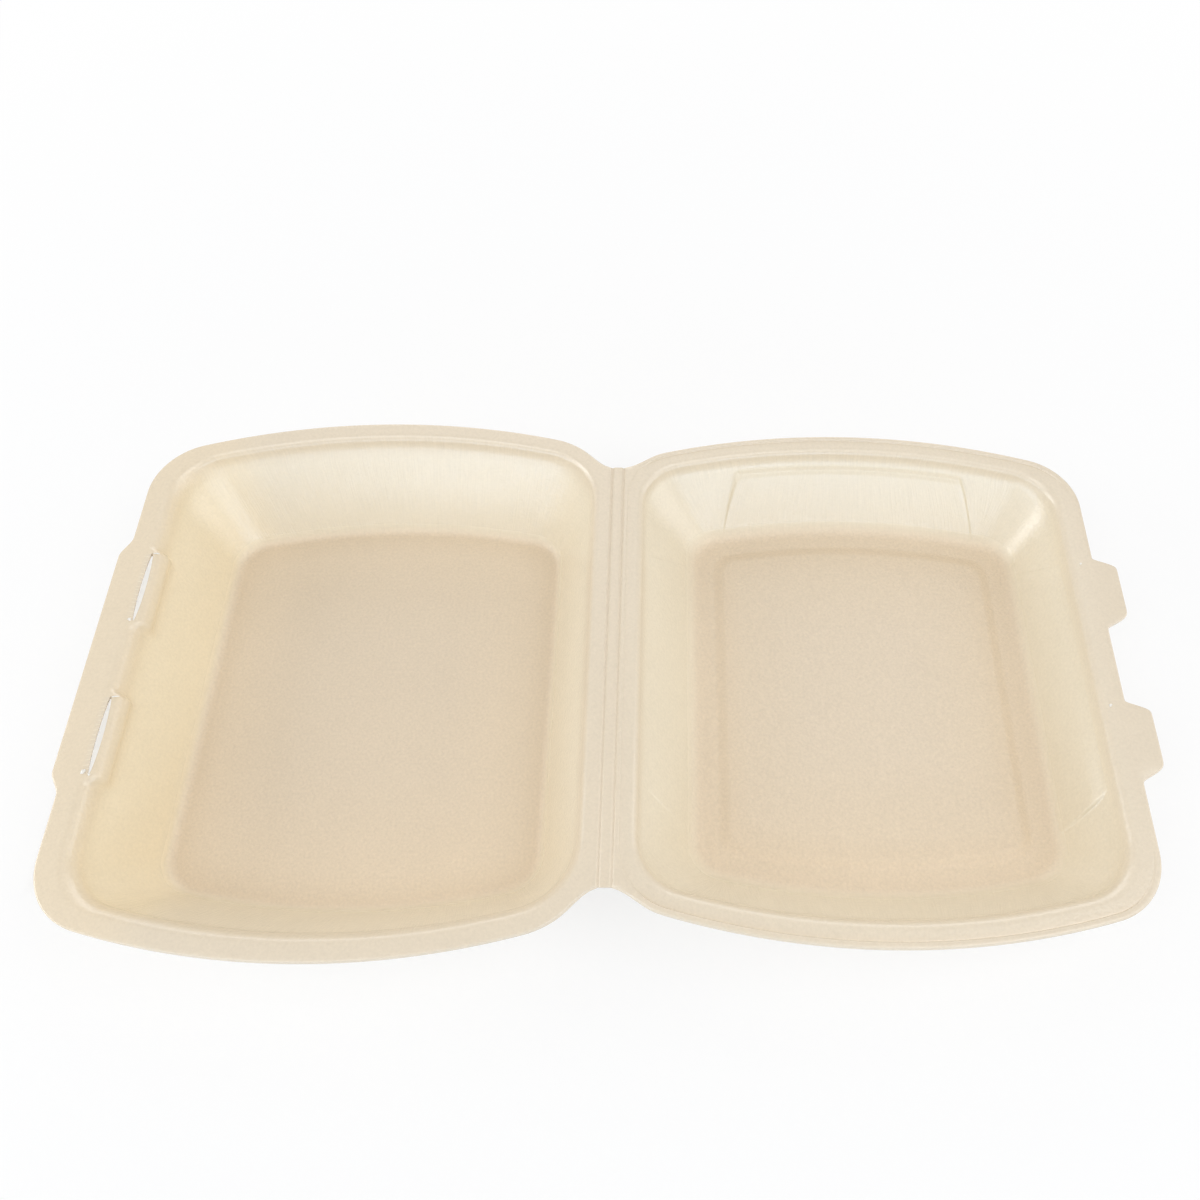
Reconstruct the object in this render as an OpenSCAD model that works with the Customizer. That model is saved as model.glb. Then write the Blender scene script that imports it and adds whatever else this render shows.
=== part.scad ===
// Hinged foam meal box: a shallow tray and its lid, pressed from one foam sheet and lying open.
// The two halves fold along a pair of score lines; two tongues on the lid lock into slots in the tray.

/* [Tray] */
// Length over the rim, measured along the hinge
tray_length = 240; // [200:1:280]
// Reach of the rim, from the middle of the hinge outward
tray_reach = 205.3; // [175:0.1:240]
// Depth inside, from the rim down to the floor
tray_depth = 41; // [34:0.5:55]

/* [Lid] */
// Length over the rim, measured along the hinge
lid_length = 229; // [190:1:270]
// Reach of the rim, from the middle of the hinge outward
lid_reach = 202; // [172:0.1:238]
// Depth inside, from the rim down to the panel border
lid_depth = 32.5; // [26:0.5:34]

/* [Foam sheet] */
// Thickness of the pressed foam
sheet_t = 2.3; // [1.8:0.1:3]
// Height of the steep neck under the rim
neck_h = 4.6; // [3:0.1:6]
// Radius of the curved front and back edges
end_radius = 300; // [260:5:500]

/* [Hinge] */
// Width of the strip between the two score lines
strip_w = 4.8; // [4.2:0.1:6]
// Length of the score lines
fold_length = 187.6; // [150:0.2:220]
// Thickness of the foam pressed flat at the hinge
hinge_t = 1.2; // [1:0.1:1.6]
// Depth of each score groove
score_depth = 0.9; // [0.6:0.05:1]

/* [Lock] */
// How far the slotted flap stands out of the tray rim
flap_out = 4.1; // [2:0.1:8]
// Distance of each slot and tongue from the middle of the side
lock_pos = 33.7; // [26:0.1:42]
// Length of each slot
slot_length = 32.8; // [26:0.1:40]
// Width of each slot
slot_w = 2.8; // [2:0.1:3.6]
// How far the tongues stand out of the lid rim
tongue_out = 9.6; // [6:0.1:14]
// Length of each tongue at its root
tongue_length = 33.4; // [24:0.1:38]

/* [Lid panels] */
// Height of the pressed step around the wall panels
wall_step = 1.1; // [0.4:0.1:1.6]
// Height of the pressed step around the floor panel
floor_step = 1.2; // [0.4:0.1:2]
// Width of the border between the lid floor edge and its panel
floor_border = 11; // [6:0.5:18]
// Height of the raised lip along the outer edge of the lid rim
lip_h = 0.8; // [0.3:0.1:1]

/* [Hidden] */
foam = [0.89, 0.84, 0.72];
fold_half = fold_length / 2;
half_strip = strip_w / 2;
// The score walls lean a little past half a right angle, so a folded score does not bind
score_lean = 47;
score_half = score_depth * tan(score_lean);
edge_relief = 0.04;
edge_round = 0.8;
edge_low = 1.5;
// Nominal section, as inset from the rim edge: rim, neck and wall
rim_s = 9;
neck_run = 1.2;
wall_run = 18.4;
neck_s = rim_s + neck_run;
floor_s = neck_s + wall_run;
lip_s = 2.6;
lip_run = 0.5;
// Rounding of the section where the sheet bends, top face and under face
rim_bend = [2, 0.4];
neck_bend = [1.5, 1.9];
floor_bend = [4.4, 5.9];
bend_n = 4;
corner_n = 8;
// Widths of the rim and runs of the wall on the hinge side, the outer side and the ends
tray_rims = [6.6, 9.3, 7.7];
tray_runs = [20.2, 19.5, 22.8];
lid_rims = [7.4, 8, 7.9];
lid_runs = [24.7, 17, 21.2];
// Corner radii at the rim and at the floor, hinge side and outer side
tray_corners = [[25, 24], [15, 15]];
lid_corners = [[20, 26], [13, 14]];
// Share of each side taken by a wall panel, at its top and at its foot
panel_top = 0.69;
panel_foot = 0.94;
panel_s = 0.012;
panel_z = neck_h + 2.9;
panel_drop = 0.8;
notch_gap = 1.2;
notch_lean = 60;
// Inward bow of the neck beside each slot, and its ramps
slot_bow = 3.6;
bow_ramp = 6;
bow_fade = 14;
flap_half = lock_pos + slot_length / 2;
flap_ramp = 7;
root_in = 3;
tongue_taper = 7;
tongue_round = 5;
slot_in = 10.3;
slot_through = 20;
tray_h = tray_depth + sheet_t;
lid_h = lid_depth + sheet_t;
fold_z = tray_h - score_depth;
// The origin lies on the table under the middle of the tray floor
fold_x = (tray_reach + half_strip + tray_rims[0] + tray_runs[0] - tray_rims[1] - tray_runs[1]) / 2;
// The lid is shallower than the tray, so it leans down until it rests on the table
lid_foot = lid_reach - lid_rims[1] - lid_runs[1] - floor_bend[1];
lid_lean = asin(max(0, tray_h - lid_h) / lid_foot);
strip_lean = lid_lean / 2;

function mix(a, b, t) = a + (b - a) * t;
function clamp01(t) = max(0, min(1, t));
function ease(t) = clamp01(t) * clamp01(t) * (3 - 2 * clamp01(t));
function unit(p) = p / norm(p);
function quad_curve(a, b, c, t) = mix(mix(a, b, t), mix(b, c, t), t);

// Rounded bend at b between the straight runs a to b and b to c
function bend(a, b, c, d, n) =
    [for (k = [0:n]) quad_curve(b + d * unit(a - b), b, b + d * unit(c - b), k / n)];

// Point b moved to the under face of a sheet of thickness t
function under(a, b, c, t) =
    let (m = unit(b - a), n = unit(c - b))
    let (p = [m[1], -m[0]], q = [n[1], -n[0]])
    b + t * (p + q) / (1 + p * q);

// Inset of one side of the outline for the nominal inset s
function side_inset(rim, run, s) =
    s <= rim_s ? rim * s / rim_s :
    s <= floor_s ? rim + run * (s - rim_s) / (floor_s - rim_s) :
    rim + run + s - floor_s;

// Outline sizes at inset s: hinge side, outer side, end, end radius, corner radii
function outline(reach, half, rims, runs, corners, s) =
    let (t = clamp01(s / floor_s), over = max(0, s - floor_s) / 2)
    [half_strip + side_inset(rims[0], runs[0], s),
     reach - side_inset(rims[1], runs[1], s),
     half - side_inset(rims[2], runs[2], s),
     end_radius - s / 2,
     mix(corners[0][0], corners[1][0], t) - over,
     mix(corners[0][1], corners[1][1], t) - over];

// Upper half of one outline, hinge side first, with its wall panels moved in by e
function half_ring(o, f, e, folded, stations, bow) =
    let (u0 = o[0], u1 = o[1], re = o[3], rh = o[4], ro = o[5])
    let (um = (u0 + u1) / 2, vm = o[2] - re)
    let (vh = vm + sqrt(pow(re - rh, 2) - pow(um - u0 - rh, 2)))
    let (vo = vm + sqrt(pow(re - ro, 2) - pow(u1 - ro - um, 2)))
    let (ah = atan2(vh - vm, u0 + rh - um), ao = atan2(vo - vm, u1 - ro - um))
    let (start = 180 - min(notch_lean, asin(clamp01((fold_half + notch_gap - vh) / rh))))
    let (vs = folded ? fold_half : vh)
    let (qh = re * cos(ah), qo = re * cos(ao), g = f + panel_s, m = (g + 1) / 2)
    concat(
        [for (q = [0, f / 2, f]) [u0 + e, q * vs]],
        [[u0, g * vs]],
        [for (k = [0:corner_n])
            folded && k == 0 ? [u0, fold_half] :
            let (a = folded ? mix(start, ah, (k - 1) / (corner_n - 1)) : mix(180, ah, k / corner_n))
            [u0 + rh + rh * cos(a), vh + rh * sin(a)]],
        [for (q = [m * qh, g * qh, f * qh, f * qh / 2, 0, f * qo / 2, f * qo, g * qo, m * qo])
            let (r = q >= f * qh && q <= f * qo ? re - e : re)
            [um + q, vm + sqrt(r * r - q * q)]],
        [for (k = [0:corner_n])
            let (a = mix(ao, 0, k / corner_n))
            [u1 - ro + ro * cos(a), vo + ro * sin(a)]],
        len(stations) > 0 ?
            [for (v = stations) [u1 - bow * slot_bow * bow_at(v), v]] :
            concat([[u1, g * vo]], [for (q = [f, f / 2, 0]) [u1 - e, q * vo]])
    );

// How far the bow beside a slot has grown at distance v from the middle of the side
function bow_at(v) = ease((slot_length / 2 + bow_ramp - abs(v - lock_pos)) / bow_ramp);

// Whole outline: the upper half and its mirror image
function whole(h) = concat(h, [for (i = [len(h) - 2:-1:1]) [h[i][0], -h[i][1]]]);

// Share of the hinge section at each point of a half outline
function hinge_share(n) = [for (i = [0:n - 1]) i <= 4 ? 1 : clamp01(1 - (i - 4) / 4)];

// Ring in space: plan points at height z, with height zh on the hinge side
function lift(h, z, zh) =
    let (w = hinge_share(len(h)), zs = [for (i = [0:len(h) - 1]) mix(z, zh, w[i])])
    let (p = whole(h), all_z = concat(zs, [for (i = [len(h) - 2:-1:1]) zs[i]]))
    [for (i = [0:len(p) - 1]) [p[i][0], p[i][1], all_z[i]]];

// Solid skinned over a list of closed rings, each end capped by a fan round its middle
module skin(rings) {
    n = len(rings[0]);
    m = len(rings);
    hubs = [for (r = [rings[0], rings[m - 1]]) (r[0] + r[n / 2]) / 2];
    points = concat([for (r = rings) for (p = r) p], hubs);
    sides = [for (j = [0:m - 2]) for (i = [0:n - 1])
        let (a = j * n + i, b = j * n + (i + 1) % n)
        for (t = [[a, b + n, b], [a, a + n, b + n]]) t];
    first = [for (i = [0:n - 1]) [n * m, i, (i + 1) % n]];
    last = [for (i = [0:n - 1]) [n * m + 1, (m - 1) * n + (i + 1) % n, (m - 1) * n + i]];
    polyhedron(points, concat(sides, first, last));
}

// Section of one half from the rim to the floor; top face and under face, outside to inside
function section(depth, lip, face) =
    let (a = [0, -lip], b = [rim_s, -lip], c = [neck_s, -lip - neck_h], d = [floor_s, -depth])
    let (e = [floor_s + rim_s, -depth])
    let (t = face * sheet_t)
    let (p = face == 0 ? b : under(a, b, c, t))
    let (q = face == 0 ? c : under(b, c, d, t))
    let (r = face == 0 ? d : under(c, d, e, t))
    let (a2 = a - [0, t], e2 = e - [0, t])
    [bend(a2, p, q, rim_bend[face], bend_n), bend(p, q, r, neck_bend[face], 2),
     bend(q, r, e2, floor_bend[face], bend_n)];

// Point on the straight wall between two bends, at height z
function wall_at(sec, z) =
    let (a = sec[1][2], b = sec[2][0])
    mix(a, b, (a[1] - z) / (a[1] - b[1]));

// Rings at the outer edge of the rim, from the top face round to the under face
function edge_rings(reach, half, rims, runs, corners, stations) =
    [for (p = [[edge_round, 0, score_half, 0],
               [0, -edge_round, 0, -score_depth],
               [0, -edge_low, edge_relief / 2, -(score_depth + hinge_t) / 2],
               [edge_round / 2, -sheet_t, edge_relief, -hinge_t]])
        let (o = outline(reach, half, rims, runs, corners, p[0] * rim_s / rims[1]))
        let (h = [half_strip + p[2], o[1], o[2], o[3], o[4], o[5]])
        lift(half_ring(h, panel_top, 0, true, stations, 0), p[1], p[3])];

module tray_shell() {
    stations = [flap_half + bow_ramp, flap_half, lock_pos + slot_length / 4, lock_pos,
                lock_pos - slot_length / 4, lock_pos - slot_length / 2,
                lock_pos - slot_length / 2 - bow_ramp, 0];
    half = tray_length / 2;
    top = section(tray_depth, 0, 0);
    low = section(tray_depth, 0, 1);
    edge = edge_rings(tray_reach, half, tray_rims, tray_runs, tray_corners, stations);
    top_path = concat(top[0], top[1], [wall_at(top, -tray_depth / 3)], top[2]);
    low_path = concat(low[0], low[1], [wall_at(low, -tray_depth / 3)], low[2]);
    top_rings = [for (p = top_path) tray_ring(p, half, stations)];
    low_rings = [for (p = low_path) tray_ring(p, half, stations)];
    skin(concat(
        [for (i = [len(top_rings) - 1:-1:0]) top_rings[i]], edge, low_rings));
}

function tray_ring(p, half, stations) =
    let (o = outline(tray_reach, half, tray_rims, tray_runs, tray_corners, p[0]))
    let (bow = ease((p[1] + neck_h + bow_fade) / bow_fade))
    lift(half_ring(o, panel_top, 0, false, stations, bow), p[1], p[1]);

// Outline of one slot: long, narrow and pointed a little at its ends
module slot_shape() {
    polygon([for (k = [-8:8]) [slot_w / 2 * sqrt(cos(k * 11)), k * slot_length / 16],
             for (k = [8:-1:-8]) [-slot_w / 2 * sqrt(cos(k * 11)), k * slot_length / 16]]);
}

// Slotted flap that widens the rim along the outer side of the tray
module flap() {
    translate([0, 0, -sheet_t])
        linear_extrude(height = sheet_t)
            polygon([[tray_reach - root_in, -flap_half - flap_ramp],
                     [tray_reach - edge_round / 2, -flap_half - flap_ramp],
                     [tray_reach + flap_out, -flap_half],
                     [tray_reach + flap_out, flap_half],
                     [tray_reach - edge_round / 2, flap_half + flap_ramp],
                     [tray_reach - root_in, flap_half + flap_ramp]]);
}

// The tray stands on the table on the left of the hinge
module tray() {
    color(foam)
        translate([fold_x, 0, tray_h])
            mirror([1, 0, 0])
                difference() {
                    union() {
                        tray_shell();
                        flap();
                    }
                    for (side = [-1, 1])
                        translate([tray_reach - slot_in, side * lock_pos, -slot_through / 2])
                            linear_extrude(height = slot_through)
                                slot_shape();
                }
}

// Narrow strip between the score lines, with a sloping score wall along each edge
module hinge_strip() {
    color(foam)
        translate([fold_x - half_strip, 0, fold_z])
            rotate([0, strip_lean, 0])
                translate([half_strip, fold_half, 0])
                    rotate([90, 0, 0])
                        linear_extrude(height = fold_length)
                            polygon([[score_half - half_strip, score_depth],
                                     [-half_strip, 0],
                                     [edge_relief - half_strip, score_depth - hinge_t],
                                     [half_strip - edge_relief, score_depth - hinge_t],
                                     [half_strip, 0],
                                     [half_strip - score_half, score_depth]]);
}

// How far the wall panel has moved in at height z, and the share of the side that it takes
function panel_in(z) =
    let (t = clamp01((-z - panel_z) / (lid_depth - panel_z)))
    z > -panel_z - panel_drop / 2 ? 0 : wall_step * (1 - t);
function panel_share(z) = mix(panel_top, panel_foot, clamp01((-z - panel_z) / (lid_depth - panel_z)));

function lid_ring(p, half, zh, zp) =
    let (o = outline(lid_reach, half, lid_rims, lid_runs, lid_corners, p[0]))
    lift(half_ring(o, panel_share(zp), panel_in(zp), false, [], 0), p[1], zh);

// Rings of one face of the lid from the rim to the floor panel
function lid_rings(face, half) =
    let (sec = section(lid_depth, lip_h, face), drop = face * sheet_t)
    let (path = concat(sec[0], sec[1],
        [for (z = [panel_z, panel_z + panel_drop, (panel_z + lid_depth) / 2]) wall_at(sec, -z - drop)],
        sec[2],
        [[floor_s + floor_border, -lid_depth - drop],
         [floor_s + floor_border + floor_step, floor_step - lid_depth - drop]]))
    [for (p = path) lid_ring(p, half, p[1], p[1] + drop)];

module lid_shell() {
    half = lid_length / 2;
    edge = edge_rings(lid_reach, half, lid_rims, lid_runs, lid_corners, []);
    lip = [lid_ring([lip_s + lip_run, -lip_h], half, -lip_h / 4, 0), lid_ring([lip_s, 0], half, 0, 0)];
    top = lid_rings(0, half);
    low = lid_rings(1, half);
    skin(concat([for (i = [len(top) - 1:-1:0]) top[i]], lip, edge, low));
}

// Locking tongue, rounded at its corners, standing out of the outer side of the lid rim
module tongue() {
    root = tongue_length / 2;
    tip = root - tongue_taper;
    out = lid_reach + tongue_out;
    corner = [lid_reach - edge_round / 2, root];
    high = bend(corner, [out, tip], [out, 0], tongue_round, bend_n);
    translate([0, 0, -sheet_t])
        linear_extrude(height = sheet_t)
            polygon(concat([[lid_reach - root_in, root], corner], high,
                           [for (i = [len(high) - 1:-1:0]) [high[i][0], -high[i][1]]],
                           [[corner[0], -root], [lid_reach - root_in, -root]]));
}

// The lid lies on the right of the hinge, its inside upward
module lid() {
    color(foam)
        translate([fold_x - half_strip, 0, fold_z])
            rotate([0, strip_lean, 0])
                translate([strip_w, 0, 0])
                    rotate([0, strip_lean, 0])
                        translate([-half_strip, 0, score_depth])
                            union() {
                                lid_shell();
                                for (side = [-1, 1])
                                    translate([0, side * lock_pos, 0])
                                        tongue();
                            }
}

tray();
hinge_strip();
lid();
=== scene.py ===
import math

import bmesh
import bpy
import numpy as np
from mathutils import Matrix, Vector


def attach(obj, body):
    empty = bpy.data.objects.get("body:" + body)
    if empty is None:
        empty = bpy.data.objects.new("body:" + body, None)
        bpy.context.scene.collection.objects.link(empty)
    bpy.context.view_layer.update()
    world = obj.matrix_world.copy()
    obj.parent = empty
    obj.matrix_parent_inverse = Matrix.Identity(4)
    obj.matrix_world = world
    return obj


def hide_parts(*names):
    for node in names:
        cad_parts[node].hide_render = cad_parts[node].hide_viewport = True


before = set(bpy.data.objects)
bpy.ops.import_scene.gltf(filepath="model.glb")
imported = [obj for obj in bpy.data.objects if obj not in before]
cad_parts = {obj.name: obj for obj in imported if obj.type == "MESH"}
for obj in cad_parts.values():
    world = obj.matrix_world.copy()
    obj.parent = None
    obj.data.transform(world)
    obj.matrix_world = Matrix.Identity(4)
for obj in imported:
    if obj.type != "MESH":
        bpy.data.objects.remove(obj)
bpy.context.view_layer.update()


# Tray: the deeper half of the box, pressed hot from one sheet of extruded foam 2.3 mm thick.
# A flat rim turns down into a steep neck, then sloping walls, then a flat floor; the ends are bowed.
# The outer side widens into a flap with two cut slots that take the tongues of the lid.
mm = 0.001
sheet = 2.3
rim_at, neck_at, foot_at = 9.0, 10.2, 28.6
neck_drop = 4.6
bow_radius = 300.0
strip_half = 2.4
fold_half = 93.8
score_deep = 0.9
score_open = 0.965
tray_high = 43.3
fold_x = 102.85

tray_form = {
    "reach": 205.3, "half": 120.0, "depth": 41.0, "lip": 0.0,
    "rims": (6.6, 9.3, 7.7), "runs": (20.2, 19.5, 22.8),
    "rim_corners": (34.0, 27.0), "foot_corners": (15.0, 15.0), "foot_turn": 3.2,
}


def ease(t):
    t = np.clip(t, 0.0, 1.0)
    return t * t * (3.0 - 2.0 * t)


def inset(rim, run, s):
    """Distance in from the edge of one side, where the section has come s in from the rim edge."""
    if s <= rim_at:
        return rim * s / rim_at
    if s <= foot_at:
        return rim + run * (s - rim_at) / (foot_at - rim_at)
    return rim + run + s - foot_at


def outline(form, s):
    """Hinge side, outer side, end, bow radius and the two corner radii, at inset s from the rim edge."""
    t = min(max(s / foot_at, 0.0), 1.0)
    over = max(0.0, s - foot_at) / 2
    rims, runs = form["rims"], form["runs"]
    corners = [a + (b - a) * t - over for a, b in zip(form["rim_corners"], form["foot_corners"])]
    return [
        strip_half + inset(rims[0], runs[0], s),
        form["reach"] - inset(rims[1], runs[1], s),
        form["half"] - inset(rims[2], runs[2], s),
        bow_radius - s / 2,
        *corners,
    ]


def stations(over_panel, beyond):
    """Steps along a side: 0 to 1 over a pressed panel, 1 to 2 over its edge and 2 to 3 beyond it."""
    return np.concatenate([np.linspace(0, 1, over_panel), np.linspace(1, 2, 7)[1:],
                           np.linspace(2, 3, beyond)[1:-1]])


corner_steps, fold_steps, notch_steps, fade_steps = 22, 10, 5, 6
hinge_stations, end_stations, outer_stations = stations(26, 9), stations(26, 12), stations(100, 20)
panel_step = 0.016


def share_of(t, panel):
    """Share of a side's length at stations t, where the panel ends at the share given."""
    edge = panel + panel_step
    over_edge = panel + panel_step * (t - 1)
    beyond = edge + (1 - edge) * (t - 2)
    return np.where(t <= 1, panel * t, np.where(t <= 2, over_edge, beyond))


notch_gap = 4.0
notch_leave = np.array([0.97, 0.24])
plain_split, widest_split = 0.65, math.radians(60)


def hinge_corner(u0, vh, rh, turn, folded):
    """Corner beside the hinge; on a folded edge a rounded notch leads into it from the score line."""
    split = plain_split
    if folded:
        split = min(widest_split, math.asin(min(max((fold_half + notch_gap - vh) / rh, 0.0), 1.0)))
    near = np.linspace(0, split, fold_steps + 1)
    far = np.linspace(split, turn, corner_steps - fold_steps + (0 if folded else 1))
    a = math.pi - np.concatenate([near, far if folded else far[1:]])
    corner = np.stack([u0 + rh + rh * np.cos(a), vh + rh * np.sin(a)], 1)
    if folded:
        corner[:fold_steps + 1, 0] = u0
        corner[:fold_steps + 1, 1] = vh + (fold_half - vh) * np.sin(near) / math.sin(split)
        end = fold_steps + notch_steps
        start, stop = corner[fold_steps], corner[end]
        third = np.linalg.norm(stop - start) / 3
        first = start + third * notch_leave
        last = stop - third * np.array([math.sin(a[end]), -math.cos(a[end])])
        b = np.linspace(0, 1, notch_steps + 1)[1:-1, None]
        corner[fold_steps + 1:end] = ((1 - b) ** 3 * start + 3 * b * (1 - b) ** 2 * first
                                      + 3 * b ** 2 * (1 - b) * last + b ** 3 * stop)
    return corner


def half_ring(o, panel=0.69, push=0.0, side_push=(0.0, 0.0), folded=False, outer_shift=None, slant=0.0):
    """Plan points from the middle of the hinge side round to the middle of the outer side."""
    u0, u1, ve, re, rh, ro = o
    um, vm = (u0 + u1) / 2, ve - re
    vh = vm + math.sqrt((re - rh) ** 2 - (um - u0 - rh) ** 2)
    vo = vm + math.sqrt((re - ro) ** 2 - (u1 - ro - um) ** 2)
    ah = math.atan2(vh - vm, u0 + rh - um)
    ao = math.atan2(vo - vm, u1 - ro - um)

    t = hinge_stations
    hinge = np.stack([u0 + side_push[0] * (1 - ease(t - 1)), share_of(t, panel) * vh], 1)
    corner_h = hinge_corner(u0, vh, rh, math.pi - ah, folded)

    t = end_stations
    toward_hinge = share_of(t[::-1], panel - slant) * re * math.cos(ah)
    toward_outer = share_of(t, panel)[1:] * re * math.cos(ao)
    q = np.concatenate([toward_hinge, toward_outer])
    w = np.concatenate([1 - ease(t[::-1] - 1), 1 - ease(t - 1)[1:]])
    r = re - push * w
    end = np.stack([um + q, vm + np.sqrt(r * r - q * q)], 1)

    a = ao * (1 - np.linspace(0, 1, corner_steps + 1))
    corner_o = np.stack([u1 - ro + ro * np.cos(a), vo + ro * np.sin(a)], 1)

    t = outer_stations[::-1]
    v = share_of(t, panel) * vo
    beside = side_push[0] + (side_push[1] - side_push[0]) * np.clip(t, 0, 1)
    u = u1 - beside * (1 - ease(t - 1))
    if outer_shift is not None:
        u = u + outer_shift(v)
    return np.concatenate([hinge, corner_h, end, corner_o, np.stack([u, v], 1)])


def hinge_weights(n):
    """1 along the hinge side as far as the score line runs, fading out along the hinge corner."""
    w = np.zeros(n)
    straight = len(hinge_stations)
    w[:straight] = 1
    k = np.arange(corner_steps + 1)
    w[straight:straight + corner_steps + 1] = np.clip(1 - (k - fold_steps) / fade_steps, 0, 1)
    return w


def ring(plan, z, z_hinge=None, front=None, z_outer=None):
    """Closed ring in space: the back half of the outline, then the front half mirrored."""
    zs = np.full(len(plan), z) if z_hinge is None else z + (z_hinge - z) * hinge_weights(len(plan))
    if z_outer is not None:
        fade = np.concatenate([ease(np.linspace(0, 1, corner_steps + 1)), np.ones(len(outer_stations))])
        zs[-len(fade):] += (z_outer - zs[-len(fade):]) * fade
    back = np.column_stack([plan, zs])
    front = np.column_stack([plan if front is None else front, zs])
    return np.concatenate([back, front[-2:0:-1] * (1, -1, 1)])


def bend(a, b, c, length, n):
    """Rounded turn at b from the run a-b into the run b-c, as n + 1 points."""
    a, b, c = (np.array(p, float) for p in (a, b, c))
    p = b + length * (a - b) / np.linalg.norm(a - b)
    q = b + length * (c - b) / np.linalg.norm(c - b)
    t = np.linspace(0, 1, n + 1)[:, None]
    return (1 - t) ** 2 * p + 2 * t * (1 - t) * b + t ** 2 * q


def under_point(a, b, c):
    """The turn at b moved to the underside, one sheet away from both runs."""
    m = np.subtract(b, a) / np.linalg.norm(np.subtract(b, a))
    n = np.subtract(c, b) / np.linalg.norm(np.subtract(c, b))
    p, q = np.array([m[1], -m[0]]), np.array([n[1], -n[0]])
    return np.array(b) + sheet * (p + q) / (1 + p @ q)


rim_turn, neck_turn = 2.6, 2.0
under_turns = (0.4, 1.9, 5.9)


def section(form, low):
    """Rim bend, neck bend and foot bend of one face, as (inset, height) points."""
    lip, depth = form["lip"], form["depth"]
    a, b, c = (0, -lip), (rim_at, -lip), (neck_at, -lip - neck_drop)
    d, e = (foot_at, -depth), (foot_at + rim_at, -depth)
    turns, steps = (rim_turn, neck_turn, form["foot_turn"]), (9, 7, 11)
    if low:
        b, c, d = under_point(a, b, c), under_point(b, c, d), under_point(c, d, e)
        a, e = (0, -lip - sheet), (foot_at + rim_at, -depth - sheet)
        turns, steps = under_turns, (3, 6, 10)
    return [bend(*run, turn, n) for run, turn, n in zip(((a, b, c), (b, c, d), (c, d, e)), turns, steps)]


def wall_point(sec, z):
    a, b = sec[1][-1], sec[2][0]
    return a + (b - a) * (a[1] - z) / (a[1] - b[1])


# Round of the rim edge: inset and height, then the same for the sloping score wall on the hinge side.
edge_round, under_round, under_high = 0.8, 0.5, 0.55
score_foot, score_fall = 0.08, 0.55
edge_turn = [(edge_round * (1 - math.sin(a)), -edge_round * (1 - math.cos(a)),
              score_foot + (score_open - score_foot) * (1 - k / 5), -score_fall * float(ease(k / 5)))
             for k, a in enumerate(np.linspace(0, math.pi / 2, 6))]
edge_turn += [(0.0, -1.5, 0.02, -1.05)]
edge_turn += [(under_round * (1 - math.cos(a)), under_high - sheet - under_high * math.sin(a),
               0.04, -1.1 - 0.1 * k / 3)
              for k, a in enumerate(np.linspace(0, math.pi / 2, 4))]


def edge_rings(form, shift):
    rings = []
    for s, z, s_hinge, z_hinge in edge_turn:
        o = outline(form, s * rim_at / form["rims"][1])
        o[0] = strip_half + s_hinge
        back = half_ring(o, folded=True, outer_shift=shift)
        front = half_ring(o, folded=True, outer_shift=lambda v: shift(-v))
        rings.append(ring(back, z, z_hinge, front))
    return rings


def face_outward(mesh):
    shape = bmesh.new()
    shape.from_mesh(mesh)
    bmesh.ops.recalc_face_normals(shape, faces=shape.faces)
    shape.to_mesh(mesh)
    shape.free()


def smooth(mesh):
    mesh.polygons.foreach_set("use_smooth", [True] * len(mesh.polygons))


def put(name, data):
    thing = bpy.data.objects.new(name, data)
    bpy.context.collection.objects.link(thing)
    return thing


closing_shares = (0.12, 0.35, 0.6, 0.82)
bend_share, wall_ends, floor_starts = 0.85, 0.963, 1.019
glow_from, glow_run = 155.0, 25.0
sharp_angle = math.radians(50)


def run_along(points):
    return np.concatenate([[0], np.cumsum(np.linalg.norm(np.diff(points, axis=0), axis=1))])


def how_drawn(points, form):
    """How far the press drew each point: 0 at the rim, 1 where the floor starts, 2 in its middle."""
    m = len(points)
    drawn = np.clip(-points[:, :, 2] / form["depth"], 0, 1)
    bend_from = 1 - bend_share * form["foot_turn"] / form["depth"]
    turned = np.sqrt(np.clip((1 - drawn) / (1 - bend_from), 0, 1))
    drawn = np.where(drawn < bend_from, wall_ends * drawn / bend_from,
                     floor_starts - (floor_starts - wall_ends) * turned)
    drawn[:m // 2] = np.maximum.accumulate(drawn[:m // 2][::-1])[::-1]
    for row, f in enumerate(closing_shares):
        drawn[row] = drawn[m - 1 - row] = 2 - f
    return drawn


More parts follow.
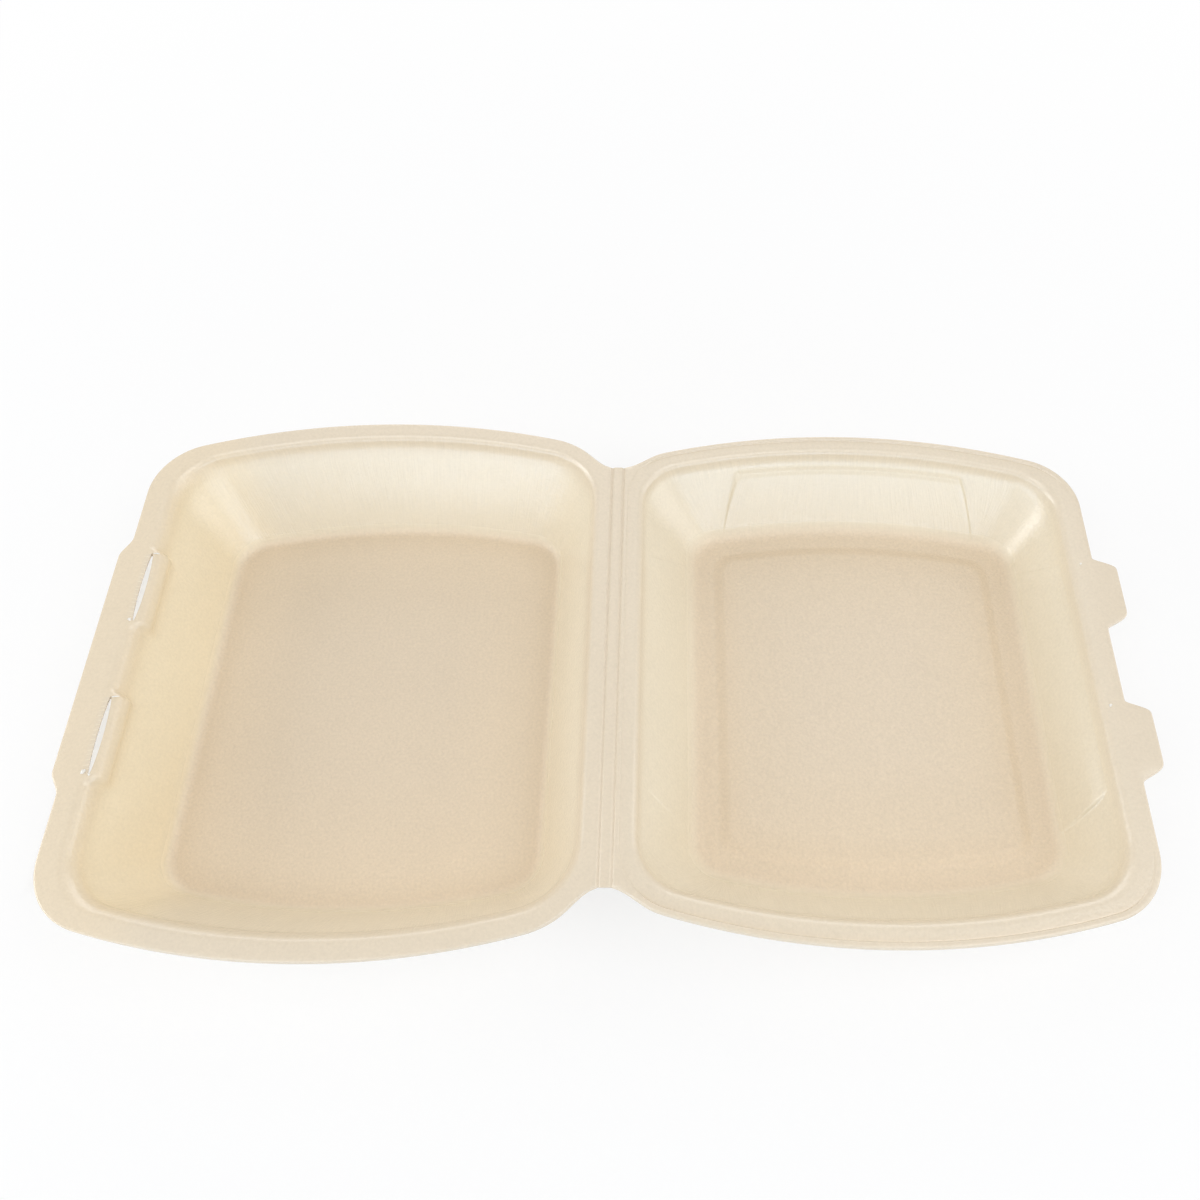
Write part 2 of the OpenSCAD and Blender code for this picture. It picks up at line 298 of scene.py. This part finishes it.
def press_foam(name, form, rings, place, material, outer_glow=0.0):
    """Foam shell skinned over rings that run from the middle of its inside, over the rim, to its underside."""
    def closing(r):
        hub = (r[0] + r[len(r) // 2]) / 2
        return [hub + (r - hub) * f for f in closing_shares]

    points = np.array(closing(rings[0]) + rings + closing(rings[-1])[::-1])
    m, n = points.shape[:2]
    belt = rings[len(rings) // 4]
    around = run_along(np.vstack([belt, belt[:1]]))
    down = run_along(points[:, n // 4])
    hubs = [points[0].mean(0), points[-1].mean(0)]
    verts = np.concatenate([points.reshape(-1, 3), hubs])
    faces, spread = [], []
    for j in range(m - 1):
        for i in range(n):
            k = (i + 1) % n
            faces.append((j * n + i, (j + 1) * n + i, (j + 1) * n + k, j * n + k))
            spread += [(around[i], down[j]), (around[i], down[j + 1]),
                       (around[i + 1], down[j + 1]), (around[i + 1], down[j])]
    for i in range(n):
        k = (i + 1) % n
        faces.append((m * n, i, k))
        spread += [(around[i], 0), (around[i], down[0]), (around[i + 1], down[0])]
        faces.append((m * n + 1, (m - 1) * n + k, (m - 1) * n + i))
        spread += [(around[i], down[-1]), (around[i + 1], down[-1]), (around[i], down[-1])]
    mesh = bpy.data.meshes.new(name)
    mesh.from_pydata((verts * mm).tolist(), [], faces)
    layer = mesh.uv_layers.new(name="sheet_run")
    layer.data.foreach_set("uv", (np.array(spread) * mm).ravel())

    drawn = how_drawn(points, form)
    # Marks for the colours: "drawn" places the painted shade of the floor and the paler walls, and "through"
    # the painted glow of the outer wall, kept off the floor and faded on the rim.
    off_floor = ease((1.0 - drawn) / 0.06)
    off_rim = 0.6 + 0.4 * ease(drawn / 0.2)
    glow = outer_glow * ease((points[:, :, 0] - glow_from) / glow_run) * off_floor * off_rim
    for mark, values, at_hub in (("drawn", drawn, 2.0), ("through", glow, 0.0)):
        marks = mesh.attributes.new(mark, "FLOAT", "POINT")
        marks.data.foreach_set("value", np.append(values.ravel(), [at_hub, at_hub]).astype(np.float32))
    mesh.transform(place)
    face_outward(mesh)
    smooth(mesh)
    mesh.materials.append(material)
    return put(name, mesh)


# Foam skin: the pressed face of extruded polystyrene, cream coloured, with a satin shine on rim and walls.
# Fine cells cover it; the press drew them into streaks down the end walls and left the floor pebbled.
foam = bpy.data.materials.new("foam_skin")
foam.use_nodes = True
foam_tree = foam.node_tree
skin = foam_tree.nodes["Principled BSDF"]


def feed(tree, entry, term):
    """Gives a node's entry a plain number, or links it to the output of another node."""
    if isinstance(term, (int, float)):
        entry.default_value = term
    else:
        tree.links.new(term, entry)


def figure(tree, operation, *terms):
    made = tree.nodes.new("ShaderNodeMath")
    made.operation = operation
    for entry, term in zip(made.inputs, terms):
        feed(tree, entry, term)
    return made.outputs[0]


def span(tree, value, source, target=(0.0, 1.0), kind="LINEAR"):
    """Takes a value from its source range to a target range."""
    made = tree.nodes.new("ShaderNodeMapRange")
    made.interpolation_type = kind
    for end, number in zip(("From Min", "From Max", "To Min", "To Max"), (*source, *target)):
        made.inputs[end].default_value = number
    feed(tree, made.inputs["Value"], value)
    return made.outputs["Result"]


def mixed(tree, share, a, b):
    made = tree.nodes.new("ShaderNodeMix")
    for entry, term in (("Factor", share), ("A", a), ("B", b)):
        feed(tree, made.inputs[entry], term)
    return made.outputs["Result"]


def noise(tree, place, scale, detail, rough=0.5):
    made = tree.nodes.new("ShaderNodeTexNoise")
    for entry, number in (("Scale", scale), ("Detail", detail), ("Roughness", rough)):
        made.inputs[entry].default_value = number
    tree.links.new(place, made.inputs["Vector"])
    return made.outputs["Fac"]


def mark_of(tree, name):
    made = tree.nodes.new("ShaderNodeAttribute")
    made.attribute_name = name
    return made.outputs["Fac"]


where = foam_tree.nodes.new("ShaderNodeTexCoord").outputs
drawn = mark_of(foam_tree, "drawn")
cells = noise(foam_tree, where["Object"], 850, 3, 0.6)
mottle = noise(foam_tree, where["Object"], 170, 4, 0.55)
cloud = noise(foam_tree, where["Object"], 14, 3)
pulled = foam_tree.nodes.new("ShaderNodeMapping")
pulled.inputs["Scale"].default_value = (1700, 70, 1)
foam_tree.links.new(where["UV"], pulled.inputs["Vector"])
streak = noise(foam_tree, pulled.outputs["Vector"], 1, 3)

facing = foam_tree.nodes.new("ShaderNodeNewGeometry")
axes = foam_tree.nodes.new("ShaderNodeSeparateXYZ")
foam_tree.links.new(facing.outputs["Normal"], axes.inputs["Vector"])
end_wall = span(foam_tree, figure(foam_tree, "ABSOLUTE", axes.outputs["Y"]), (0.4, 0.75), (0.0, 0.45))
pebbled = span(foam_tree, drawn, (0.96, 1.0), (0.6, 1.0))
grain = mixed(foam_tree, end_wall, mixed(foam_tree, pebbled, 0.5, cells), streak)
patches = figure(foam_tree, "MULTIPLY_ADD", mottle, 0.10, figure(foam_tree, "MULTIPLY", cloud, 0.18))
tone = figure(foam_tree, "MULTIPLY_ADD", grain, 0.72, patches)

# Colours by how deep each point lies: rim first, then walls, the foot bend and the floor. The walls are
# painted paler, for light coming through them and sheen, and the floor darker with painted shade, also in a
# band just past the foot bend.
press = foam_tree.nodes.new("ShaderNodeValToRGB")
stops = press.color_ramp.elements
stops[0].position, stops[0].color = 0.0, (0.750, 0.641, 0.487, 1)
stops[1].position, stops[1].color = 0.80, (0.736, 0.616, 0.464, 1)
for stop, shade in ((0.12, (0.822, 0.732, 0.568, 1)), (0.481, (0.818, 0.722, 0.550, 1)),
                    (0.4985, (0.735, 0.599, 0.430, 1)), (0.56, (0.746, 0.618, 0.455, 1))):
    stops.new(stop).color = shade
foam_tree.links.new(figure(foam_tree, "MULTIPLY", drawn, 0.5), press.inputs["Fac"])
cream = foam_tree.nodes.new("ShaderNodeVectorMath")
cream.operation = "SCALE"
foam_tree.links.new(press.outputs["Color"], cream.inputs[0])
foam_tree.links.new(span(foam_tree, tone, (0.25, 0.75), (0.90, 1.10)), cream.inputs["Scale"])

# Painted glow: a warm tint on the outer wall, standing in for light that comes through the thin foam.
no_tint, warm_tint = (1, 1, 1), (1.09, 1.06, 0.985)
tint = foam_tree.nodes.new("ShaderNodeMix")
tint.data_type = "VECTOR"
tint.inputs[4].default_value = no_tint
tint.inputs[5].default_value = warm_tint
foam_tree.links.new(mark_of(foam_tree, "through"), tint.inputs["Factor"])
warm_cream = foam_tree.nodes.new("ShaderNodeVectorMath")
warm_cream.operation = "MULTIPLY"
foam_tree.links.new(cream.outputs["Vector"], warm_cream.inputs[0])
foam_tree.links.new(tint.outputs[1], warm_cream.inputs[1])
foam_tree.links.new(warm_cream.outputs["Vector"], skin.inputs["Base Color"])

satin = span(foam_tree, drawn, (0.93, 0.972), (0.17, 0.42))
feed(foam_tree, skin.inputs["Roughness"], figure(foam_tree, "MULTIPLY_ADD", mottle, 0.12, satin))
relief = foam_tree.nodes.new("ShaderNodeBump")
relief.inputs["Strength"].default_value = 1.0
relief.inputs["Distance"].default_value = 0.00024
foam_tree.links.new(grain, relief.inputs["Height"])
foam_tree.links.new(relief.outputs["Normal"], skin.inputs["Normal"])
skin.inputs["Specular IOR Level"].default_value = 1.0

# The tray's own shape: its flap, the neck bowed in beside the slots, then the rings that make the shell.
# On both long sides the turn from rim to wall is eased, and more so at the front end.
flap_out, flap_half, flap_ramp = 4.1, 48.6, 10.0
slot_mid, slot_long, slot_wide, slot_in = 33.7, 32.8, 2.4, 10.3
slot_u = tray_form["reach"] - slot_in
neck_bow, bow_ramp, bow_fade = 3.0, 4.0, 8.0
eased_by, eased_over = 1.4, 4.0
hinge_eased, front_eased = 0.5, 1.5


def flap_edge(v):
    return flap_out * ease((flap_half + flap_ramp - np.abs(v)) / flap_ramp)


def slot_bow(amount):
    def shift(v):
        beside = np.abs(np.abs(v) - slot_mid)
        return -amount * neck_bow * ease((slot_long / 2 + bow_ramp - beside) / bow_ramp)
    return shift


def soft_plans(form, p):
    """Back and front outlines at one point of the section, with the turn from rim to wall eased."""
    ease_in = eased_by * math.exp(-((p[1] + neck_drop) / eased_over) ** 2)
    back, front = outline(form, p[0]), outline(form, p[0])
    for plan in (back, front):
        plan[0] += hinge_eased * ease_in
        plan[1] -= ease_in
    front[2] -= front_eased * ease_in
    return back, front


def tray_row(p):
    amount = float(ease((p[1] + neck_drop + bow_fade) / bow_fade))
    back, front = (half_ring(o, outer_shift=slot_bow(amount)) for o in soft_plans(tray_form, p))
    return ring(back, p[1], front=front)


def tray_face(low, wall_heights):
    sec = section(tray_form, low)
    wall_rows = [wall_point(sec, z) for z in wall_heights]
    return [tray_row(p) for p in [*sec[0], *sec[1], *wall_rows, *sec[2]]]


tray_top, tray_low = tray_face(False, np.linspace(-8, -34, 12)), tray_face(True, np.linspace(-11, -35, 8))
tray_edge = edge_rings(tray_form, flap_edge)
rim_flat = [tray_top[0] + (tray_edge[0] - tray_top[0]) * f for f in (0.25, 0.5, 0.75)]
tray_place = Matrix.Translation((fold_x * mm, 0, tray_high * mm)) @ Matrix.Scale(-1, 4, (1, 0, 0))
tray = press_foam("foam_tray", tray_form, tray_top[::-1] + rim_flat + tray_edge + tray_low,
                  tray_place, foam, outer_glow=1.0)

# Cut foam: the raw inside of the sheet, bare where the cutting die went through it.
# It is paler and rougher than the pressed skin, and shows in the slots and on torn crumbs.
torn = bpy.data.materials.new("torn_foam")
torn.use_nodes = True
torn_tree = torn.node_tree
raw = torn_tree.nodes["Principled BSDF"]
tear = torn_tree.nodes.new("ShaderNodeTexNoise")
tear.inputs["Scale"].default_value = 2600
pale = torn_tree.nodes.new("ShaderNodeValToRGB")
pale.color_ramp.elements[0].color = (0.80, 0.75, 0.66, 1)
pale.color_ramp.elements[1].color = (0.95, 0.93, 0.88, 1)
torn_tree.links.new(tear.outputs["Fac"], pale.inputs["Fac"])
torn_tree.links.new(pale.outputs["Color"], raw.inputs["Base Color"])
raw.inputs["Roughness"].default_value = 0.7

# Slots: two narrow cuts punched through the flap, one for each tongue of the lid.
# The cut leans under the outer edge.
blade_low, blade_high, blade_lean = -10.0, 5.0, 0.45
half_steps, step_turn = 8, 11.0
steps = np.arange(-half_steps, half_steps + 1)
for side in (-1, 1):
    half_wide = slot_wide / 2 * np.sqrt(np.cos(np.radians(steps * step_turn)))
    along = side * slot_mid + steps * slot_long / (2 * half_steps)
    loop = [(slot_u + w, v) for w, v in zip(half_wide, along)]
    loop += [(slot_u - w, v) for w, v in zip(half_wide, along)][::-1]
    n = len(loop)
    corners = [(u - blade_lean * z * (u > slot_u), v, z) for z in (blade_low, 0.0) for u, v in loop]
    corners += [(u, v, blade_high) for u, v in loop]
    sides = [(j + i, j + (i + 1) % n, j + n + (i + 1) % n, j + n + i) for j in (0, n) for i in range(n)]
    ends = [tuple(range(n))[::-1], tuple(range(2 * n, 3 * n))]
    blade = bpy.data.meshes.new("slot_blade")
    blade.materials.append(torn)
    blade.from_pydata((np.array(corners) * mm).tolist(), [], sides + ends)
    blade.transform(tray_place)
    face_outward(blade)
    cutter = put("slot_blade", blade)
    cut = tray.modifiers.new("slot", "BOOLEAN")
    cut.operation = "DIFFERENCE"
    cut.solver = "EXACT"
    cut.object = cutter
    bpy.context.view_layer.update()
    cut_mesh = bpy.data.meshes.new_from_object(tray.evaluated_get(bpy.context.evaluated_depsgraph_get()))
    tray.modifiers.clear()
    tray.data = cut_mesh
    bpy.data.objects.remove(cutter)
tray.data.set_sharp_from_angle(angle=sharp_angle)
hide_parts("tray")
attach(tray, "tray")


# Torn crumbs: bits of foam that the cutting die left at the ends of the two slots.
# They are half sunk in the sheet and as pale as the cut foam.
def crumb(name, place, spot, size, turn):
    """Rough lump of torn foam: size is its three half lengths in mm."""
    shape = bmesh.new()
    bmesh.ops.create_icosphere(shape, subdivisions=3, radius=1.0)
    for v in shape.verts:
        d = v.co.copy()
        v.co *= 1 + 0.16 * math.sin(5 * d.x + 3 * d.y + turn) + 0.12 * math.sin(7 * d.z - 4 * d.x + 2 * turn)
    mesh = bpy.data.meshes.new(name)
    shape.to_mesh(mesh)
    shape.free()
    mesh.transform(place @ Matrix.Translation(Vector(spot) * mm) @ Matrix.Rotation(turn, 4, "Z")
                   @ Matrix.Diagonal((*[h * mm for h in size], 1)))
    smooth(mesh)
    mesh.materials.append(torn)
    return put(name, mesh)


for name, spot, size, turn in (
        ("slot_crumb_back", (slot_u + 1.6, slot_mid - 16.0, 0.1), (0.85, 0.6, 0.4), 0.4),
        ("slot_crumb_front", (slot_u + 2.2, -slot_mid - 15.4, 0.2), (1.0, 0.75, 0.5), 2.0),
        ("slot_crumb_small", (slot_u - 0.2, -slot_mid - 16.4, 0.0), (0.6, 0.45, 0.35), 1.1),
        ("slot_burr_back", (slot_u - 1.6, slot_mid + 16.3, -0.05), (1.4, 0.28, 0.2), 0.1),
        ("slot_burr_front", (slot_u - 1.6, -slot_mid + 16.3, -0.05), (1.5, 0.28, 0.2), -0.1)):
    bit = crumb(name, tray_place, spot, size, turn)
    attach(bit, "tray")


# Hinge strip: the narrow band of the same sheet between the two score lines, pressed thin.
# A score wall slopes down along each edge to the thin skin that bends, rounded like a bead.
# It stands upright as the spine of the closed box.
lid_lowered, lid_rests_at = 8.5, 171.1
lean = math.asin(lid_lowered / lid_rests_at)
bead, bead_low = 0.3, 0.06
wall_foot, wall_fall = 0.1, 0.52
edge = [(strip_half - score_open + 0.02, score_deep)]
edge += [(strip_half - score_open * (1 - t) - wall_foot * t, score_deep - wall_fall * float(ease(t)))
         for t in (0.25, 0.5, 0.75, 1.0)]
edge += [(strip_half + bead * math.sin(a), bead_low + bead * math.cos(a))
         for a in np.linspace(math.radians(10), math.pi, 9)]
profile = [(-x, z) for x, z in edge[::-1]] + edge
strip_rows = np.linspace(-fold_half, fold_half, 60)
verts = [(x, y, z) for y in strip_rows for x, z in profile]
n = len(profile)
faces = [(j * n + i, j * n + (i + 1) % n, (j + 1) * n + (i + 1) % n, (j + 1) * n + i)
         for j in range(len(strip_rows) - 1) for i in range(n)]
faces += [tuple(range(n))[::-1], tuple(range((len(strip_rows) - 1) * n, len(strip_rows) * n))]
mesh = bpy.data.meshes.new("hinge_band")
mesh.from_pydata((np.array(verts) * mm).tolist(), [], faces)
layer = mesh.uv_layers.new(name="sheet_run")
spread = [(verts[i][1] * mm, verts[i][0] * mm) for f in faces for i in f]
layer.data.foreach_set("uv", np.array(spread).ravel())
half_lean = Matrix.Rotation(lean / 2, 4, "Y")
on_score = Matrix.Translation(((fold_x - strip_half) * mm, 0, (tray_high - score_deep) * mm)) @ half_lean
mesh.transform(on_score @ Matrix.Translation((strip_half * mm, 0, 0)))
face_outward(mesh)
smooth(mesh)
mesh.set_sharp_from_angle(angle=sharp_angle)
mesh.materials.append(foam)
strip = put("hinge_band", mesh)
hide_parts("hinge_strip")
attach(strip, "hinge_strip")


# Lid: the shallower half, pressed from the same sheet, lying open with its inside upward.
# A raised lip follows its rim; its back and side walls and its floor carry pressed panels that stiffen them.
# Two tongues stand out of the outer side. It leans down until its floor rests on the table.
lid_form = {
    "reach": 202.0, "half": 114.5, "depth": 32.5, "lip": 0.8,
    "rims": (7.4, 8.0, 7.9), "runs": (24.7, 17.0, 21.2),
    "rim_corners": (25.0, 26.0), "foot_corners": (13.0, 14.0), "foot_turn": 4.2,
}
lip_at, lip_run, lip_groove, groove_half = 1.9, 0.6, 0.08, 0.4
panel_high, panel_drop, side_drop = neck_drop + 2.9, 0.55, 6.0
panel_top, panel_foot, panel_slant = 0.69, 0.94, 0.04
wall_push, side_share, outer_share = 1.9, 0.24, 3.6
floor_border, floor_rise = 11.0, 1.2
step_before, step_run, step_past = 2.6, 5.8, 4.0
tongue_out, tongue_half = 9.6, 16.7
tongue_back, tongue_front = 3.2, 5.4
tip_round, root_round, root_reach = 1.6, 0.7, 3


def tongue_edge(v):
    d = np.where(v < 0, v + slot_mid, v - slot_mid)
    taper = np.where(d > 0, tongue_back, tongue_front)
    slope = (tongue_half - np.abs(d)) * tongue_out / taper
    tip = -np.log(np.exp(-tongue_out / tip_round) + np.exp(-slope / tip_round)) * tip_round
    near = np.abs(d) < tongue_half + root_reach
    return np.where(near, np.log1p(np.exp(tip / root_round)) * root_round, 0.0)


def lid_row(p, z_hinge, zp, z_outer=None):
    below = -zp - panel_high
    t = min(max(below / (lid_form["depth"] - panel_high), 0.0), 1.0)
    push = wall_push * (1 - t) * float(ease(below / panel_drop))
    share = panel_top + (panel_foot - panel_top) * t
    side = side_share * wall_push * (1 - t) * float(ease(below / side_drop))
    back, front = soft_plans(lid_form, (p[0], zp))
    back = half_ring(back, share, push, (side, side), slant=panel_slant * (1 - t))
    front = half_ring(front, share, 0.0, (side, outer_share * side))
    return ring(back, p[1], z_hinge, front, z_outer)


def lid_face(low):
    sec, drop = section(lid_form, low), sheet if low else 0.0
    panel_foot_high, wall_low = panel_high + panel_drop, 26.5
    floor, border = -lid_form["depth"] - drop, foot_at + floor_border
    steps = [*np.linspace(panel_high, panel_foot_high, 6), *np.linspace(panel_foot_high, wall_low, 9)[1:]]
    path = [*sec[0], *sec[1], *[wall_point(sec, -z - drop) for z in steps], *sec[2]]
    path += [(foot_at + f, floor) for f in (6.2, 7.2)]
    path += [(border - step_before + step_run * t, floor + floor_rise * float(ease(t)))
             for t in np.linspace(0, 1, 11)]
    path += [(border + step_past, floor + floor_rise)]
    return [lid_row(p, p[1], p[1] + drop) for p in path]


lid_top, lid_low = lid_face(False), lid_face(True)
lip = []
for t in (-1.0, -0.6, -0.3, 0.0, 0.25, 0.5, 0.75, 1.0):
    groove = lip_groove * math.exp(-(t / groove_half) ** 2)
    down = lid_form["lip"] * (1 - float(ease(t))) + groove
    lip.append(lid_row((lip_at + lip_run * (1 - t), -down), -(down + groove) / 4, 0, -0.1 * min(1 - t, 1.0)))
lid_place = (on_score @ Matrix.Translation((2 * strip_half * mm, 0, 0)) @ half_lean
             @ Matrix.Translation((-strip_half * mm, 0, score_deep * mm)))
lid_edge = edge_rings(lid_form, tongue_edge)
lid = press_foam("foam_lid", lid_form, lid_top[::-1] + lip + lid_edge + lid_low, lid_place, foam)
lid.data.set_sharp_from_angle(angle=sharp_angle)
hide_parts("lid")
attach(lid, "lid")


# Crushed specks: white marks the die left in the lid rim where the back edge of each tongue starts.
# They are flat lumps of torn foam, pressed into the rim.
speck_low, speck_size, speck_turn = -0.7, (0.75, 0.5, 0.25), 0.7
for name, inward, v in (("rim_speck_back", 5.2, slot_mid + 14.8), ("rim_speck_front", 6.0, -slot_mid + 15.4)):
    bit = crumb(name, lid_place, (lid_form["reach"] - inward, v, speck_low), speck_size, speck_turn)
    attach(bit, "lid")


# Table: a plain white sheet that the box lies on, white to the eye and in reflections.
# Near the box it still takes the soft shadow, and below the tray it keeps its own shade.
table_half, table_low = 3, -0.0004
box_mid, tray_mid = (0.1, 0, 0), (-0.03, 0, 0)
table = bpy.data.meshes.new("table")
table_corners = [(x * table_half, y * table_half, table_low) for x, y in ((-1, -1), (1, -1), (1, 1), (-1, 1))]
table.from_pydata(table_corners, [], [(0, 1, 2, 3)])
white = bpy.data.materials.new("table_white")
white.use_nodes = True
table_tree = white.node_tree
paper = table_tree.nodes["Principled BSDF"]
paper.inputs["Base Color"].default_value = (0.93, 0.93, 0.93, 1)
paper.inputs["Roughness"].default_value = 0.9


def seen_or_mirrored(tree):
    """1 for what the camera sees, straight or in a reflection, and 0 for the light that falls on the box."""
    path = tree.nodes.new("ShaderNodeLightPath").outputs
    mirrored = figure(tree, "MAXIMUM", path["Is Glossy Ray"], path["Is Transmission Ray"])
    return figure(tree, "MAXIMUM", path["Is Camera Ray"], mirrored)


def shader_mix(tree, share, plain, seen, out):
    made = tree.nodes.new("ShaderNodeMixShader")
    tree.links.new(share, made.inputs["Fac"])
    tree.links.new(plain.outputs[0], made.inputs[1])
    tree.links.new(seen.outputs[0], made.inputs[2])
    tree.links.new(made.outputs[0], tree.nodes[out].inputs["Surface"])


def from_point(operation, point):
    made = table_tree.nodes.new("ShaderNodeVectorMath")
    made.operation = operation
    made.inputs[1].default_value = point
    table_tree.links.new(spot_at.outputs["Position"], made.inputs[0])
    return made.outputs


spot_at = table_tree.nodes.new("ShaderNodeNewGeometry")
lift = span(table_tree, from_point("DISTANCE", box_mid)["Value"], (0.25, 0.75), (0.76, 1.0), "SMOOTHSTEP")
beside = table_tree.nodes.new("ShaderNodeSeparateXYZ")
table_tree.links.new(from_point("SUBTRACT", tray_mid)["Vector"], beside.inputs["Vector"])
clear = [span(table_tree, figure(table_tree, "ABSOLUTE", beside.outputs[axis]), fade, kind="SMOOTHSTEP")
         for axis, fade in (("X", (0.092, 0.102)), ("Y", (0.070, 0.085)))]
lifted = figure(table_tree, "MULTIPLY", lift, figure(table_tree, "MAXIMUM", *clear))
glow = table_tree.nodes.new("ShaderNodeEmission")
glow.inputs["Strength"].default_value = 1.0
shader_mix(table_tree, figure(table_tree, "MULTIPLY", seen_or_mirrored(table_tree), lifted),
           paper, glow, "Material Output")
table.materials.append(white)
ground = put("table", table)


# Studio: white surroundings and eight soft area lamps, all 1.6 m from the box and aimed at it.
# The low ones in front are cool and leave the white sheen on the back walls and corners.
studio = bpy.data.worlds.new("studio")
studio.use_nodes = True
studio_tree = studio.node_tree
surroundings = studio_tree.nodes["Background"]
backdrop = studio_tree.nodes.new("ShaderNodeBackground")
for light, strength in ((surroundings, 0.40), (backdrop, 1.0)):
    light.inputs["Color"].default_value = (1, 1, 1, 1)
    light.inputs["Strength"].default_value = strength
shader_mix(studio_tree, seen_or_mirrored(studio_tree), surroundings, backdrop, "World Output")
bpy.context.scene.world = studio

lamp_away, lamp_aim = 1.6, Vector((0.1, 0, 0.02))
cool, plain = (0.62, 0.78, 1.0), (1.0, 1.0, 1.0)
for name, turn, height, size, power, tint in (
        ("low_left_lamp", -42, 11, (1.7, 0.28), 4.7, cool),
        ("front_right_lamp", 24, 18, (1.5, 0.3), 3.9, cool),
        ("key_left_lamp", -45, 55, (0.9, 0.9), 4.8, plain),
        ("key_right_lamp", 67, 55, (1.2, 0.9), 7.0, plain),
        ("left_lamp", -90, 20, (0.8, 0.8), 7.0, plain),
        ("right_lamp", 90, 16, (1.6, 1.0), 5.1, plain),
        ("back_lamp", 180, 20, (1.6, 0.8), 6.2, plain),
        ("high_back_lamp", 174, 51, (1.3, 0.3), 0.9, plain)):
    turn, height = math.radians(turn), math.radians(height)
    toward = Vector((math.sin(turn) * math.cos(height), -math.cos(turn) * math.cos(height), math.sin(height)))
    lamp = bpy.data.lights.new(name, "AREA")
    lamp.shape = "RECTANGLE"
    lamp.size, lamp.size_y = size
    lamp.energy = power
    lamp.color = tint
    stand = put(name, lamp)
    stand.location = lamp_aim + lamp_away * toward
    stand.rotation_euler = toward.to_track_quat("Z", "Y").to_euler()


# Camera: looks steeply down from the front, as the photograph does.
# Its lens, shift and tilt were fitted to the outline of the box in the photograph.
picture, focal, middle = 1200, 1091, (672, 638)
camera_at = (0.13275, -0.2102, 0.4194)
pitch, yaw, roll = math.radians(59.95), math.radians(-1.64), math.radians(1.78)
camera = bpy.data.cameras.new("camera")
camera.sensor_width = 36
camera.lens = focal / picture * camera.sensor_width
camera.shift_x = (picture / 2 - middle[0]) / picture
camera.shift_y = (middle[1] - picture / 2) / picture
camera.clip_start = 0.01
ahead = Vector((math.sin(yaw) * math.cos(pitch), math.cos(yaw) * math.cos(pitch), -math.sin(pitch)))
right = Vector((math.cos(yaw), -math.sin(yaw), 0))
down = ahead.cross(right)
across = math.cos(roll) * right + math.sin(roll) * down
below = -math.sin(roll) * right + math.cos(roll) * down
viewer = put("camera", camera)
viewer.matrix_world = Matrix([(*axis, at) for axis, at in zip(zip(across, -below, -ahead), camera_at)]
                             + [(0, 0, 0, 1)])
bpy.context.scene.camera = viewer
bpy.context.scene.view_settings.view_transform = "Standard"
